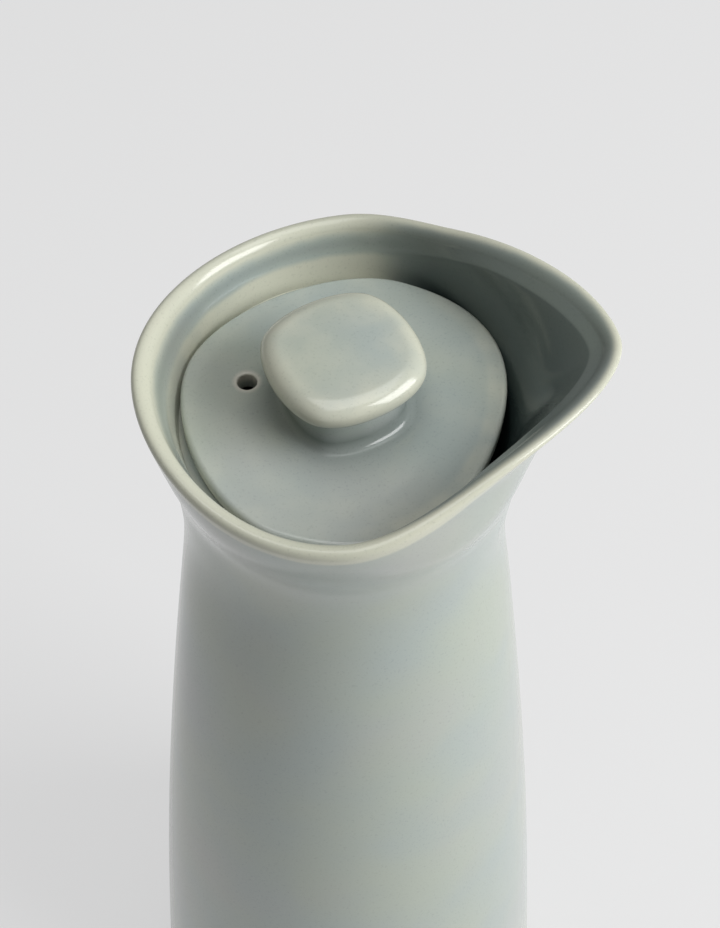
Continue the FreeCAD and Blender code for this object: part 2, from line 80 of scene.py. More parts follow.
# Outlines of the lid's plate and of the knob's head, in the lid's own frame
PLATE = Outline(0.0258, 0.0288, 0.0273, 0.74, 0.46, 0.44)
HEAD = Outline(0.0135, 0.0138, 0.0135, 0.40, 0.40, 0.40)

# Heights at which the waist begins and ends: the bottle's rings stand closer above each of them
CONE_TOP, WAIST_TOP = 0.14, 0.174
# Shares of a turn from the tip of the lip: over which the roll stands upright, and over which the ridge
# is lifted, with the part of it in which that fades
UPRIGHT_TURN, LIFT_TURN, LIFT_FADE = 0.09, 0.22, 0.1
# Rounds in which a point under the rim's slope comes to rest
RIM_ROUNDS = 6
# Softness of the ridge's top, depth over which the wall eases back below it, and how many depths of the
# lip's band the rings follow it down
RIDGE_SOFT, RIDGE_RUN, RIDGE_END = 0.00025, 0.003, 1.6
# Soft corners of the shelf's edge and under the knob's head
SHELF_CORNER, HEAD_CORNER = 0.0006, 0.0006
# Shares of the head's outline for the rings of the knob's top
TOP_SHARES = (0.04, 0.12, 0.25, 0.4, 0.55, 0.7, 0.82, 0.92, 1.0)
# Where the slope of the lid's edge begins, and over what length, in widths of its band
SLOPE_START, SLOPE_RUN = 1.3, 0.6
# Share of the skirt's bore at which the plate's underside is closed by one face
UNDERSIDE_SHARE = 0.8
# Points round the piece that cuts the air hole, and how far it stands out of the plate
VENT_SIDES, VENT_SPARE = 64, 0.0003
# Edges that bend by more than this stay sharp
SHARP_ANGLE = math.radians(45)

# A ring of points, with its share of cream, where glaze is thin and where painted light lies on the wall
# beside the lid, and of dark, where glaze gathers and where painted shade lies in the spout, the throat and
# round the knob
Ring = namedtuple("Ring", "points thin pool")
# Noise in the glaze: its scale and detail, and the two values between which it runs from 0 to 1
Cloud = namedtuple("Cloud", "scale detail low high")
GREEN_CLOUDS = Cloud(38.0, 2.0, 0.3, 0.7)
ROSE_CLOUDS = Cloud(25.0, 2.0, 0.45, 0.75)
RAGGED_EDGE = Cloud(160.0, 2.0, 0.3, 0.7)
SPECKS = Cloud(2400.0, 1.0, 0.55, 0.8)


def length(name, description, default):
    return FloatProperty(name=name, description=description, default=default, unit="LENGTH", precision=4)


def portion(name, description, default):
    return FloatProperty(name=name, description=description, default=default, min=0.0, max=1.0)


def angle_of(name, description, degrees):
    return FloatProperty(name=name, description=description, default=math.radians(degrees),
                         subtype="ANGLE")


def place_of(name, description, default):
    return FloatVectorProperty(name=name, description=description, default=default, size=3,
                               subtype="TRANSLATION", unit="LENGTH")


def colour(name, description, default):
    return FloatVectorProperty(name=name, description=description, default=default, subtype="COLOR",
                               size=3, min=0.0, max=1.0)


class PourerSizes(bpy.types.PropertyGroup):
    """Sizes of the bottle and its rim, in metres."""

    base_radius: length("Base radius", "Outer radius at the resting face", 0.0425)
    foot_round: length("Foot rounding", "Rounding round the foot", 0.0025)
    shoulder_height: length("Shoulder height", "Where the long cone turns into the waist", 0.155)
    waist_height: length("Waist height", "Height of the narrowest place", 0.166)
    waist_radius: length("Waist radius", "Outer radius at the narrowest place", 0.028)
    waist_round: length("Waist rounding", "Radius of the waist's hollow curve", 0.09)
    wall: length("Wall", "Wall of the bottle, measured level", 0.0037)
    floor_thickness: length("Floor thickness", "Thickness of the bottom", 0.005)
    floor_round: length("Floor rounding", "Rounding between bottom and wall inside", 0.006)
    throat_height: length("Throat height", "Height of the shelf's underside", 0.183)
    seat_height: length("Shelf height", "Height of the shelf that carries the lid", 0.1897)
    shelf_front: length("Shelf front", "Axis to where the shelf ends under the lip", 0.012)
    shelf_fade: length("Shelf fade", "Half the length over which the shelf runs out", 0.0018)
    tip_height: length("Tip height", "Resting face to the tip of the lip", 0.2074)
    tip_reach: length("Tip reach", "Axis to where the rim's rise ends", 0.0468)
    side_height: length("Side height", "Resting face to the rim above the axis", 0.2005)
    back_height: length("Back height", "Resting face to the rim at the back", 0.2029)
    back_reach: length("Back reach", "Axis to where the rim's dip begins", 0.038)
    lip_wall: length("Lip wall", "Thickness of the rim's round roll", 0.0030)
    roll_upright: portion("Upright roll", "How upright the roll is at the tip, against the wall", 0.5)
    lip_band: length("Lip band", "Depth of the soft ridge inside the lip", 0.0036)
    ridge_wall: length("Ridge wall", "Thickness of the wall at the soft ridge", 0.0037)
    ridge_lift: FloatProperty(name="Ridge lift", default=0.7, min=0.0, max=0.9,
                              description="How much nearer the rim the ridge runs in the lip, as a share")
    rim_dip: length("Rim dip", "Radius of the rim's dip, seen from the side", 0.103)
    rise_reach: length("Rise reach", "Axis to where the dip turns over into the rise", 0.0194)
    sides: IntProperty(name="Sides", description="Points round each ring", default=288, min=16)


class LidSizes(bpy.types.PropertyGroup):
    """Sizes of the lid and its knob, in metres."""

    turn: angle_of("Turn", "How far the lid stands turned in the mouth", -19.5)
    thickness: length("Plate thickness", "Thickness of the lid's plate", 0.0035)
    top_round: length("Upper edge", "Rounding of the plate's upper edge", 0.0009)
    edge_band: length("Edge band", "Width of the band that slopes to the upper edge", 0.0024)
    edge_fall: length("Edge fall", "How much lower the plate is at its upper edge", 0.00004)
    under_round: length("Lower edge", "Rounding of the plate's lower edge", 0.0012)
    skirt_radius: length("Skirt radius", "Outer radius of the skirt in the neck", 0.0238)
    skirt_wall: length("Skirt wall", "Wall of the skirt", 0.0026)
    skirt_depth: length("Skirt depth", "How far the skirt reaches down", 0.009)
    vent_offset: length("Vent offset", "Lid's axis to the air hole, towards the back", 0.0164)
    vent_side: length("Vent side", "Lid's axis to the air hole, towards the right side", 0.0013)
    vent_radius: length("Vent radius", "Radius of the air hole", 0.00165)
    vent_round: length("Vent edge", "Rounding of the air hole's edge", 0.00035)
    undercut: length("Undercut", "How far the neck stands in under the head", 0.0036)
    neck_spread: length("Neck spread", "How much wider the neck is at its foot", 0.0004)
    neck_height: length("Neck height", "Plate to the underside of the head", 0.0082)
    head_height: length("Head height", "Thickness of the knob's head", 0.0052)
    head_turn: angle_of("Head turn", "How far the knob stands turned on the lid", 3.5)
    head_soft: length("Head's soft edge", "Width of the rounding of the head's upper edge", 0.0036)
    head_crown: length("Head crown", "How much lower the head's top is at its edge", 0.0003)
    head_top_round: length("Head's upper edge", "Height of the rounding of the head's upper edge", 0.0027)
    head_under_round: length("Head's lower edge", "Rounding of the head's lower edge", 0.0022)
    neck_round: length("Neck's foot", "Hollow between the neck and the plate", 0.002)


class GlazeColours(bpy.types.PropertyGroup):
    """Colours of the glaze."""

    blue: colour("Blue grey", "Glaze where it lies blue", (0.355, 0.405, 0.385))
    green: colour("Green grey", "Glaze where it lies green", (0.385, 0.425, 0.365))
    rose: colour("Rose grey", "Faint warm clouds in the glaze", (0.41, 0.405, 0.39))
    cream: colour("Cream", "Glaze that has run thin over an edge", (0.585, 0.585, 0.47))
    # Near-black: this colour is gathered glaze and the specks, and also paints shade in the spout, the
    # throat and round the knob
    pool: colour("Pool", "Glaze that has gathered thick in a hollow", (0.035, 0.055, 0.052))
    edge: colour("Hole's edge", "Thin warm glaze round the air hole", (0.60, 0.57, 0.50))


class GlazeLightAndShadeMarks(bpy.types.PropertyGroup):
    """How the glaze lies, and where light and shade are painted: shares of cream where it is thin and of
    dark where it gathers, with painted light on the wall beside the lid and painted shade in the spout, the
    throat and round the knob, and lengths.
    """

    cream_hold: length("Cream outside", "Depth below the roll to which the outside is all cream", 0.0004)
    cream_fade: length("Cream's fade", "Depth over which that cream fades", 0.0016)
    cream_inside: length("Cream inside", "Depth in which the cream inside the rim falls away", 0.0012)
    # Painted shade: the inside of the spout, the roll's inner side there and the wall down to the shelf are
    # darkened
    spout_start: length("Spout's start", "Axis to where the spout's dark glaze begins", 0.002)
    spout_run: length("Spout's run", "Length over which the spout's dark glaze comes in", 0.014)
    roll_start: angle_of("Roll's start", "Angle round the roll at which the spout's glaze begins", 85)
    roll_run: angle_of("Roll's run", "Angle over which it comes in", 60)
    roll_shade: portion("Roll's dark", "Dark on the inner side of the roll in the spout", 0.5)
    # Painted light: cream on the wall beside the lid, more of it towards the back
    wall_start: length("Wall's start", "Depth inside at which the wall beside the lid begins", 0.003)
    wall_run: length("Wall's run", "Depth over which its cream comes in", 0.002)
    wall_cream_and_light: portion("Wall's cream", "Cream on the wall beside the lid", 0.6)
    far_painted_light: portion("Far cream", "More cream on that wall, away from the camera", 0.4)
    far_light_reach: length("Far reach", "Axis to where that wall has all of it", 0.03)
    # Glaze gathered in the groove under the roll, darkened further as painted shade
    groove_pool_and_shade: portion("Groove's dark", "Dark in the groove under the roll", 0.3)
    groove_depth: length("Groove's depth", "Depth of the groove's middle", 0.0022)
    groove_width: length("Groove's width", "Half the width of its dark line", 0.0014)
    # Painted shade in the spout, more below the ridge and down at the shelf
    spout_shade: portion("Spout's dark", "Dark in the spout above the ridge", 0.6)
    ridge_shade: portion("Ridge's dark", "More dark below the ridge", 0.12)
    ridge_early: length("Ridge's lead", "How far above the ridge that dark begins", 0.0002)
    ridge_fade: length("Ridge's fade", "Depth over which it comes in", 0.0008)
    deep_shade: portion("Deep dark", "More dark down at the shelf in the spout", 0.28)
    # Painted shade on the wall below the shelf
    throat_shade: portion("Throat's dark", "Dark on the wall below the shelf", 0.6)
    knob_middle: portion("Knob's middle", "Cream in the middle of the knob's top", 0.35)
    knob_rim: portion("Knob's rim", "Cream at the edge of the knob's top", 0.55)
    knob_side: portion("Knob's side", "Cream on the side of the knob's head", 0.85)
    knob_under: portion("Knob's underside", "Cream under the knob's head", 0.25)
    # Painted shade under the knob's head and down its neck, deepest in the crease at the foot and on the
    # plate beside it, with gathered glaze
    knob_corner: portion("Knob's corner", "Cream, and dark, where head and neck meet", 0.1)
    neck_cream: portion("Neck's cream", "Cream at the top of the knob's neck", 0.3)
    neck_shade: portion("Neck's dark", "Dark at the top of the knob's neck", 0.05)
    foot_pool_and_shade: portion("Foot's dark", "Dark at the foot of the knob's neck", 0.5)
    plate_pool_and_shade: portion("Plate's dark", "Dark on the plate beside the neck's foot", 0.2)
    plate_reach: length("Plate's reach", "Length over which that dark falls away", 0.003)
    plate_cream: portion("Plate's cream", "Cream on the flat of the lid", 0.25)
    edge_cream: portion("Edge's cream", "Cream on the edge of the lid", 0.3)
    front_cream: portion("Front's cream", "More cream on that edge towards the lip", 0.18)
    front_reach: length("Front's reach", "Lid's axis to where it has all of that", 0.02)
    under_cream: portion("Underside's cream", "Cream on the lower edge of the lid", 0.7)
    vent_cream: portion("Vent's cream", "Cream on the edge of the air hole", 0.6)


class GlazeFinish(bpy.types.PropertyGroup):
    """Strength of the glaze's clouds and tones, and its surface."""

    rose_share: portion("Rose clouds", "How strong the rose clouds are", 0.5)
    ragged_share: portion("Ragged edge", "How far noise wears the cream's edge away", 0.2)
    cream_low: portion("Cream's start", "Mark of thin glaze at which cream begins", 0.05)
    cream_high: portion("Cream's end", "Mark of thin glaze at which cream is full", 0.9)
    cream_share: portion("Cream's share", "How strong full cream is", 0.8)
    hole_near: FloatProperty(name="Hole's near side", default=1.1, min=0.0,
                             description="Radii of the air hole at which its warm edge is full")
    hole_far: FloatProperty(name="Hole's far side", default=1.7, min=0.0,
                            description="Radii of the air hole at which its warm edge ends")
    hole_share: portion("Hole's share", "How strong the warm edge is", 0.75)
    speck_share: portion("Specks", "How strong the dark specks are", 0.12)
    grain_scale: FloatProperty(name="Grain", description="Scale of the surface's waves", default=180.0)
    grain_strength: portion("Grain's strength", "How much the waves show", 0.03)
    grain_height: FloatProperty(name="Grain's height", description="Height of the waves, in metres",
                                default=0.0004, precision=5)
    roughness: portion("Roughness", "Roughness of the gloss", 0.15)
    refraction: FloatProperty(name="Refraction", description="Refraction of the glass in the glaze",
                              default=1.5, min=1.0)


class StageSettings(bpy.types.PropertyGroup):
    """Floor, lamps and camera."""

    floor: colour("Floor", "Colour of the floor where light falls on it", (0.88, 0.88, 0.885))
    backdrop: colour("Backdrop", "Level at which the camera sees floor and backdrop", (0.755, 0.755, 0.757))
    backdrop_share: portion("Backdrop share", "Share of that level in what is seen of the floor", 0.75)
    floor_size: length("Floor size", "Length of the floor's sides", 8.0)
    elevation: angle_of("Elevation", "How far the camera looks down", 52.0)
    camera_place: place_of("Camera", "Place of the camera", (0.00267, -0.20887, 0.44393))
    lens: FloatProperty(name="Lens", description="Focal length in millimetres", default=77.59)
    sensor: FloatProperty(name="Sensor", description="Width of the picture in millimetres", default=36.0)
    world_light: FloatProperty(name="World", description="Level light from all round", default=0.115)
    key_light: FloatProperty(name="Key", description="Light of the lamp on the lip's side", default=1.16)
    key_place: place_of("Key's place", "Place of the lamp on the lip's side", (0.98, -0.30, 0.82))
    key_size: length("Key's size", "Length of its sides", 0.8)
    top_light: FloatProperty(name="Top", description="Light of the lamp above", default=0.5)
    top_place: place_of("Top's place", "Place of the lamp above", (0.1, 0.05, 1.4))
    top_size: length("Top's size", "Length of its sides", 1.0)
    target: place_of("Target", "Place that both lamps are aimed at", (0.0, 0.0, 0.19))


def spline_through(heights, values):
    """Curve through the values with an even bend, as a function of the height."""
    heights, values = np.array(heights), np.array(values, float)
    steps = np.diff(heights)
    size = len(heights)
    matrix, sides = np.eye(size), np.zeros_like(values)
    for i in range(1, size - 1):
        matrix[i, i - 1:i + 2] = steps[i - 1], 2 * (steps[i - 1] + steps[i]), steps[i]
        sides[i] = 6 * ((values[i + 1] - values[i]) / steps[i]
                        - (values[i] - values[i - 1]) / steps[i - 1])
    bends = np.linalg.solve(matrix, sides)

    def at(height):
        height = np.atleast_1d(height)
        place = np.clip(np.searchsorted(heights, height) - 1, 0, size - 2)
        step = steps[place][:, None]
        up = (heights[place + 1] - height)[:, None] / step
        down = 1 - up
        return (up * values[place] + down * values[place + 1]
                + ((up ** 3 - up) * bends[place] + (down ** 3 - down) * bends[place + 1]) * step ** 2 / 6)
    return at


def four_poles(start, second, third, end, share):
    """Point of a curve of four poles."""
    rest = 1 - share
    return (rest ** 3 * start + 3 * rest ** 2 * share * second
            + 3 * rest * share ** 2 * third + share ** 3 * end)


def outline_points(turns, outline):
    """Points of an outline at shares of a turn that start at the lip."""
    half = np.where(turns < 0.5, turns, 1 - turns)
    front = half < 0.25
    share = np.where(front, 4 * half, 4 * half - 1)
    zero = np.zeros_like(half)
    reach, side, back, flank, nose, tail = outline
    x = np.where(front, four_poles(reach, reach, flank * side, zero, share),
                 four_poles(zero, -tail * back, -back, -back, share))
    y = np.where(front, four_poles(zero, nose * side, side, side, share),
                 four_poles(side, side, tail * side, zero, share))
    return x, np.where(turns < 0.5, y, -y)


def smaller(outline, inset):
    """Outline with every size less the inset."""
    return Outline(outline.reach - inset, outline.side - inset, outline.back - inset,
                   outline.flank, outline.nose, outline.tail)


def cone_radius(sizes):
    """Radius of the long cone, which bows a little, as a function of the height."""
    rise = sizes.waist_height - sizes.shoulder_height
    angle = math.asin(rise / sizes.waist_round)
    knee = sizes.waist_radius + sizes.waist_round * (1 - math.cos(angle))
    outward = Vector((math.cos(angle), math.sin(angle)))
    chord = Vector((sizes.base_radius - knee, -sizes.shoulder_height))
    bow = -chord.dot(chord) / (2 * chord.dot(outward))
    centre = Vector((knee, sizes.shoulder_height)) - outward * bow

    def at(height):
        return centre.x + math.copysign(math.sqrt(bow ** 2 - (height - centre.y) ** 2), bow)
    return at


def bottle_outside(sizes):
    """Outline of the bottle's outside as a function of the height."""
    radius_at = cone_radius(sizes)
    levels = {height: circle(radius_at(height)) for height in CONE_HEIGHTS}
    levels.update(MOUTH)
    curve = spline_through(list(levels), list(levels.values()))
    return lambda height: Outline(*curve(height).T)


def rim_curve(sizes):
    """Height of the rim at a distance towards the lip: a dip that turns over into a rise."""
    back = Vector((-sizes.back_reach, sizes.back_height))
    side = Vector((0.0, sizes.side_height))
    tip = Vector((sizes.tip_reach, sizes.tip_height))
    half = (side - back) / 2
    across = Vector((-half.y, half.x)).normalized()
    dip_centre = back + half + across * math.sqrt(sizes.rim_dip ** 2 - half.length_squared)
    turn_y = dip_centre.y - math.sqrt(sizes.rim_dip ** 2 - (sizes.rise_reach - dip_centre.x) ** 2)
    turn = Vector((sizes.rise_reach, turn_y))
    downward = (turn - dip_centre).normalized()
    chord = tip - turn
    rise_radius = chord.length_squared / (2 * chord.dot(downward))
    rise_centre = turn + downward * rise_radius

    def at(x):
        dip = dip_centre.y - np.sqrt(np.maximum(sizes.rim_dip ** 2 - (x - dip_centre.x) ** 2, 0))
        rise = rise_centre.y + np.sqrt(np.maximum(rise_radius ** 2 - (x - rise_centre.x) ** 2, 0))
        return np.where(x < sizes.rise_reach, dip, rise)
    return at


def placed(x, y, height):
    return np.stack([x, y, np.broadcast_to(height, x.shape)], axis=1)


def mouth_ring(turns, outside, rim, inset, below, share, sizes):
    """Ring between the shelf's height, at share 0, and a given depth below the rim, at share 1.

    At the tip the rim's roll stands more upright than the wall at its foot, which leans out.
    """
    seat, roll = sizes.seat_height, sizes.lip_wall / 2
    lean = 1 - sizes.roll_upright * near_tip(turns)
    height, foot = np.full_like(turns, seat), np.full_like(turns, seat)
    for _ in range(RIM_ROUNDS):
        level = np.minimum(height, foot + lean * np.maximum(height - foot, 0.0))
        x, y = outline_points(turns, smaller(outside(level), inset))
        height, foot = seat + share * (rim(x) - below - seat), rim(x) - roll
    return placed(x, y, height)


def blend(near, far, share):
    return near + (far - near) * share


def eased(value):
    value = np.clip(value, 0.0, 1.0)
    return value * value * (3 - 2 * value)


def from_tip(turns):
    """Shares of a turn from the tip of the lip, on either side of it."""
    return np.minimum(turns, 1 - turns)


def near_tip(turns):
    """1 at the tip of the lip, easing to 0 on both sides of it."""
    return eased(1 - from_tip(turns) / UPRIGHT_TURN)


def steps_to(start, end, count):
    """Values in even steps after the start, the end among them."""
    return np.linspace(start, end, count + 1)[1:]


def arc(count, span=math.pi / 2):
    """Angles in even steps after 0, up to a quarter turn or another span."""
    return [span * step / count for step in range(1, count + 1)]


def ridge_inset(sizes, depth):
    """How far the inside stands in at a depth below the roll: it swells to the ridge and eases back."""
    past = RIDGE_SOFT * np.logaddexp(0.0, (depth - sizes.lip_band) / RIDGE_SOFT)
    swell = (sizes.ridge_wall - sizes.lip_wall) * (depth - past) / sizes.lip_band
    return sizes.lip_wall + swell - (sizes.ridge_wall - sizes.wall) * (1 - math.exp(-past / RIDGE_RUN))


def bottle_rings(sizes, marks, turns):
    """Rings of the bottle from the edge of the bottom, up the outside, over the rim and down inside."""
    outside, rim = bottle_outside(sizes), rim_curve(sizes)
    seat, wall = sizes.seat_height, sizes.wall
    roll, band = sizes.lip_wall / 2, sizes.lip_band
    lift = 1 - sizes.ridge_lift * eased((LIFT_TURN - from_tip(turns)) / LIFT_FADE)
    rings = []

    def level_ring(height, inset, pool=0.0):
        x, y = outline_points(turns, smaller(outside(height), inset))
        rings.append(Ring(placed(x, y, height), 0.0, pool))

    def rim_ring(share, below, thin):
        rings.append(Ring(mouth_ring(turns, outside, rim, 0.0, below, share, sizes), thin, 0.0))

    def roll_ring(angle):
        inset, below = roll * (1 - math.cos(angle)), roll * (1 - math.sin(angle))
        points = mouth_ring(turns, outside, rim, inset, below, 1.0, sizes)
        # Painted shade on the roll's inner side in the spout, where its cream gives way
        inward = eased((angle - marks.roll_start) / marks.roll_run) * spout_share(points)
        rings.append(Ring(points, 1 - inward, marks.roll_shade * inward))

    def spout_share(points):
        return eased((points[:, 0] - marks.spout_start) / marks.spout_run)

    def inner_ring(share, inset, depth):
        points = mouth_ring(turns, outside, rim, inset, roll + depth * lift, share, sizes)
        spout = spout_share(points)
        # Near the rim the cream is thin glaze; further down, cream on the wall beside the lid is painted
        # light, more towards the back
        beside = marks.wall_cream_and_light + marks.far_painted_light * eased(points[:, 1] / marks.far_light_reach)
        cream = (math.exp(-depth / marks.cream_inside)
                 + beside * eased((depth - marks.wall_start) / marks.wall_run))
        # Glaze gathered in the groove under the roll, darkened further as painted shade
        groove = marks.groove_pool_and_shade * math.exp(-((depth - marks.groove_depth) / marks.groove_width) ** 2)
        # Painted shade in the spout, more below the ridge and down at the shelf
        lining_shade = (marks.spout_shade + marks.deep_shade * (1 - share)
                  + marks.ridge_shade * eased((depth - band + marks.ridge_early) / marks.ridge_fade))
        rings.append(Ring(points, cream * (1 - spout), blend(groove, lining_shade, spout)))

    # Foot
    foot = sizes.foot_round
    level_ring(0.0, foot)
    for angle in arc(6):
        level_ring(foot * (1 - math.cos(angle)), foot * (1 - math.sin(angle)))
    # Outside, in short steps where it bends
    for start, end, count in ((foot, CONE_TOP, 29), (CONE_TOP, WAIST_TOP, 29), (WAIST_TOP, seat, 32)):
        for height in steps_to(start, end, count):
            level_ring(height, 0.0)
    for share in steps_to(0, 1, 20):
        rim_ring(share, roll + band, 0.0)
    for depth in steps_to(band, 0, 12):
        rim_ring(1.0, roll + depth, 1 - eased((depth - marks.cream_hold) / marks.cream_fade))
    # Round roll of the rim, then inside it the band that swells to a soft ridge, and the wall
    for angle in arc(16, math.pi):
        roll_ring(angle)
    low = RIDGE_END * band
    for depth in steps_to(0, low, 24):
        inner_ring(1.0, ridge_inset(sizes, depth), depth)
    for share in steps_to(1, 0, 8):
        inner_ring(share, blend(wall, ridge_inset(sizes, low), share), low)
    # Shelf, which runs out under the lip, and the neck below it
    bore = sizes.waist_radius - wall
    bore_x, bore_y = outline_points(turns, circle(bore))
    open_share = eased((bore_x - sizes.shelf_front) / (2 * sizes.shelf_fade) + 0.5)

    def shelf_ring(height, share):
        wall_x, wall_y = outline_points(turns, smaller(outside(height), wall))
        inner = share * (1 - open_share)
        x, y = blend(wall_x, bore_x, inner), blend(wall_y, bore_y, inner)
        # The shelf's open part under the lip is darkened as painted shade
        rings.append(Ring(placed(x, y, height), 0.0, open_share))

    corner, throat = SHELF_CORNER, sizes.throat_height
    for height, share in ((seat, 0.5), (seat, 0.9), (seat - corner / 3, 0.97), (seat - corner, 1.0),
                          (throat + corner, 1.0), (throat, 0.9), (throat, 0.0)):
        shelf_ring(height, share)
    # Inside of the body down to the rounded corner of the floor
    floor_top, corner = sizes.floor_thickness, sizes.floor_round
    # Painted shade on the wall below the shelf
    for height in steps_to(throat, CONE_TOP, 15):
        level_ring(height, wall, marks.throat_shade)
    for height in steps_to(CONE_TOP, floor_top + corner, 15):
        level_ring(height, wall)
    for angle in arc(6):
        level_ring(floor_top + corner * (1 - math.sin(angle)), wall + corner * (1 - math.cos(angle)))
    return rings


def lid_rings(sizes, marks, turns):
    """Rings of the lid from the middle of the knob's top, down over the plate and up inside the skirt."""
    rings = []
    top = sizes.thickness + sizes.neck_height + sizes.head_height
    head_under = top - sizes.head_height

    def ring(outline, height, thin=0.0, pool=0.0, turn=0.0):
        x, y = outline_points(turns, outline)
        x, y = x * math.cos(turn) - y * math.sin(turn), x * math.sin(turn) + y * math.cos(turn)
        rings.append(Ring(placed(x, y, height), thin, pool))

    def knob_ring(outline, height, thin, pool=0.0):
        ring(outline, height, thin, pool, sizes.head_turn)

    # Head of the knob: gently crowned top, soft edge, underside
    head = smaller(HEAD, sizes.head_soft)
    crown, fall = sizes.head_crown, sizes.head_top_round
    for share in TOP_SHARES:
        outline = Outline(head.reach * share, head.side * share, head.back * share, *head[3:])
        knob_ring(outline, top - crown * share ** 2, blend(marks.knob_middle, marks.knob_rim, share ** 4))
    for angle in arc(12):
        inset = sizes.head_soft * (1 - math.sin(angle))
        drop = crown + (fall - crown) * (1 - math.cos(angle))
        knob_ring(smaller(HEAD, inset), top - drop, blend(marks.knob_rim, marks.knob_side, math.sin(angle)))
    under = sizes.head_under_round
    knob_ring(HEAD, head_under + under, marks.knob_side)
    for angle in arc(6):
        knob_ring(smaller(HEAD, under * (1 - math.cos(angle))), head_under + under * (1 - math.sin(angle)),
                  blend(marks.knob_side, marks.knob_under, math.sin(angle)))
    # Neck, which spreads downwards into the hollow round its foot
    corner, hollow = HEAD_CORNER, sizes.neck_round
    # Painted shade where the head meets the neck and down the neck, deepest in the crease at its foot, where
    # glaze also gathers
    knob_ring(smaller(HEAD, sizes.undercut - corner), head_under, marks.knob_corner, marks.knob_corner)
    for share in np.linspace(0, 1, 8):
        height = blend(head_under - corner, sizes.thickness + hollow, share)
        neck = smaller(HEAD, sizes.undercut - sizes.neck_spread * share ** 2)
        knob_ring(neck, height, marks.neck_cream * (1 - share),
                  blend(marks.neck_shade, marks.foot_pool_and_shade, share ** 3))
    for angle in arc(10):
        knob_ring(smaller(neck, -hollow * (1 - math.cos(angle))),
                  sizes.thickness + hollow * (1 - math.sin(angle)), 0.0,
                  blend(marks.foot_pool_and_shade, marks.plate_pool_and_shade, math.sin(angle)))
    # Plate: flat top, round edge, underside
    foot_x, foot_y = rings[-1].points[:, 0], rings[-1].points[:, 1]
    edge_x, edge_y = outline_points(turns, smaller(PLATE, sizes.top_round))
    span = np.hypot(edge_x - foot_x, edge_y - foot_y).mean()
    band, fall = sizes.edge_band, sizes.edge_fall

    def edge_thin(x):
        return marks.edge_cream + marks.front_cream * eased(x / marks.front_reach)

    for away in (*steps_to(span, 2 * band, 10), *steps_to(2 * band, 0, 14)):
        share = 1 - away / span
        x, y = blend(foot_x, edge_x, share), blend(foot_y, edge_y, share)
        step = eased((SLOPE_START * band - away) / (SLOPE_RUN * band))
        # Painted shade with gathered glaze on the plate beside the neck's foot
        rings.append(Ring(placed(x, y, sizes.thickness - fall * step),
                          blend(marks.plate_cream, edge_thin(x), step),
                          marks.plate_pool_and_shade * math.exp((away - span) / marks.plate_reach)))
    for angle in arc(6):
        ring(smaller(PLATE, sizes.top_round * (1 - math.sin(angle))),
             sizes.thickness - fall - sizes.top_round * (1 - math.cos(angle)), edge_thin(edge_x))
    ring(PLATE, sizes.under_round, marks.under_cream)
    for angle in arc(5):
        ring(smaller(PLATE, sizes.under_round * (1 - math.cos(angle))),
             sizes.under_round * (1 - math.sin(angle)))
    # Skirt
    lower = sizes.skirt_radius - sizes.skirt_wall
    soft = sizes.skirt_wall / 2
    skirt_x, skirt_y = outline_points(turns, circle(sizes.skirt_radius))
    halfway = (rings[-1].points + placed(skirt_x, skirt_y, 0.0)) / 2 * (1, 1, 0)
    rings.append(Ring(halfway, 0.0, 0.0))
    ring(circle(sizes.skirt_radius), 0.0)
    ring(circle(sizes.skirt_radius), soft - sizes.skirt_depth)
    for angle in arc(8, math.pi):
        ring(circle(sizes.skirt_radius - soft * (1 - math.cos(angle))),
             soft * (1 - math.sin(angle)) - sizes.skirt_depth)
    ring(circle(lower), 0.0)
    ring(circle(lower * UNDERSIDE_SHARE), 0.0)
    return rings


def deselect():
    if bpy.context.object and bpy.context.object.mode != "OBJECT":
        bpy.ops.object.mode_set(mode="OBJECT")
    bpy.ops.object.select_all(action="DESELECT")


def raise_rings(name, rings):
    """Model a closed piece as a potter coils one: ring after ring is extruded and laid in place."""
    deselect()
    count = len(rings[0].points)
    bpy.ops.mesh.primitive_circle_add(vertices=count, radius=1.0, fill_type="NOTHING", location=(0, 0, 0))
    piece = bpy.context.object
    piece.name = piece.data.name = name
    bpy.ops.object.mode_set(mode="EDIT")
    mesh = bmesh.from_edit_mesh(piece.data)
    mesh.verts.layers.int.new("place")
    # Share of cream, which also holds painted light, and of dark, which also holds painted shade
    mesh.verts.layers.float.new("thin")
    mesh.verts.layers.float.new("pool")
    place = mesh.verts.layers.int["place"]
    for vertex in mesh.verts:
        vertex[place] = round(math.atan2(vertex.co.y, vertex.co.x) / math.tau * count) % count
    lay_ring(piece, rings[0])
    for ring in rings[1:]:
        bpy.ops.mesh.extrude_region_move(TRANSFORM_OT_translate={"value": (0, 0, 0)})
        lay_ring(piece, ring)
    bpy.ops.mesh.select_all(action="DESELECT")
    bpy.ops.mesh.fill_holes(sides=0)
    bpy.ops.mesh.select_all(action="SELECT")
    bpy.ops.mesh.fill_holes(sides=0)
    bpy.ops.mesh.remove_doubles(threshold=SAME_PLACE)
    bpy.ops.mesh.normals_make_consistent(inside=False)
    bpy.ops.object.mode_set(mode="OBJECT")
    return piece


def lay_ring(piece, ring):
    """Lay the selected ring of points on a ring's places, and mark how its glaze lies, with its painted
    light and shade.
    """
    mesh = bmesh.from_edit_mesh(piece.data)
    layers = mesh.verts.layers
    place, thin, pool = layers.int["place"], layers.float["thin"], layers.float["pool"]
    count = len(ring.points)
    thin_marks, pool_and_shade_marks = np.broadcast_to(ring.thin, count), np.broadcast_to(ring.pool, count)
    for vertex in mesh.verts:
        if vertex.select:
            here = vertex[place]
            vertex.co, vertex[thin], vertex[pool] = ring.points[here], thin_marks[here], pool_and_shade_marks[here]
    bmesh.update_edit_mesh(piece.data)


